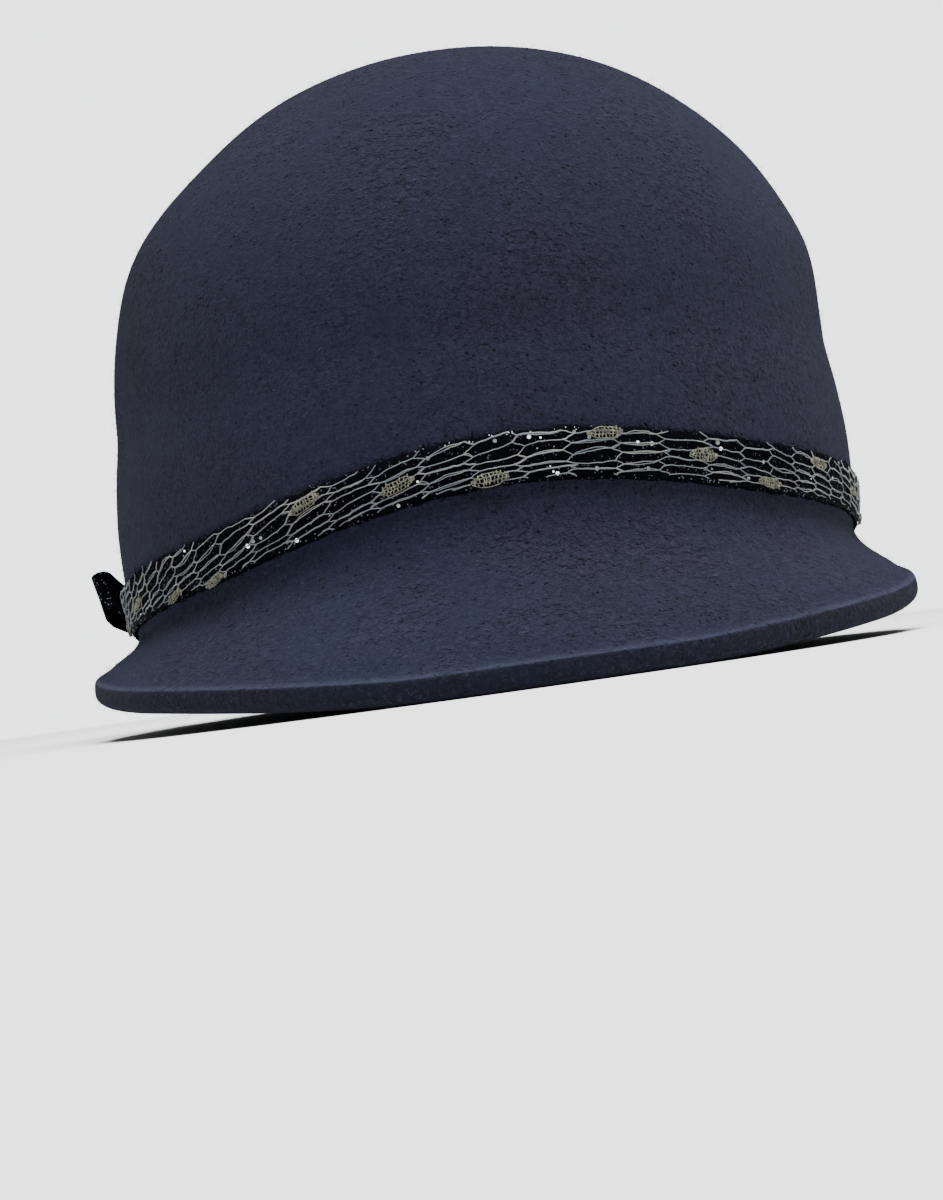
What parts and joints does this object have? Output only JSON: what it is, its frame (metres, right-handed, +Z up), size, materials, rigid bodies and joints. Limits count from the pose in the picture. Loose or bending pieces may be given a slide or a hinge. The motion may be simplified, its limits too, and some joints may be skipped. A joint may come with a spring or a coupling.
{
  "type": "cloche hat",
  "caption": "Dark blue-grey felt cloche hat with a rounded crown, a brim deep in front with its edge turned under, a narrow black glitter band under pale net, and a small side bow",
  "frame": {"origin": "middle of the hat's bounding box on the surface that it rests on", "axes": "+Z up through the crown; the hat's front, where the brim is deepest, faces -Y; the wearer's left is +X"},
  "size_m": [0.1936, 0.235, 0.15],
  "materials": {
    "felt": "matte wool felt with a fine nap",
    "sweatband_ribbon": "smooth ribbed ribbon, slightly glossy",
    "glitter_cloth": "black cloth with fine glitter",
    "net_thread": "pale silvery cream net thread with cream-gold woven dots"
  },
  "bodies": {
    "root": {"felt_body": "felt", "sweatband": "sweatband_ribbon", "band_ribbon": "glitter_cloth", "band_net": "net_thread", "bow_knot": "glitter_cloth", "bow_loop_front": "glitter_cloth", "bow_loop_back": "glitter_cloth"}
  },
  "joints": []
}
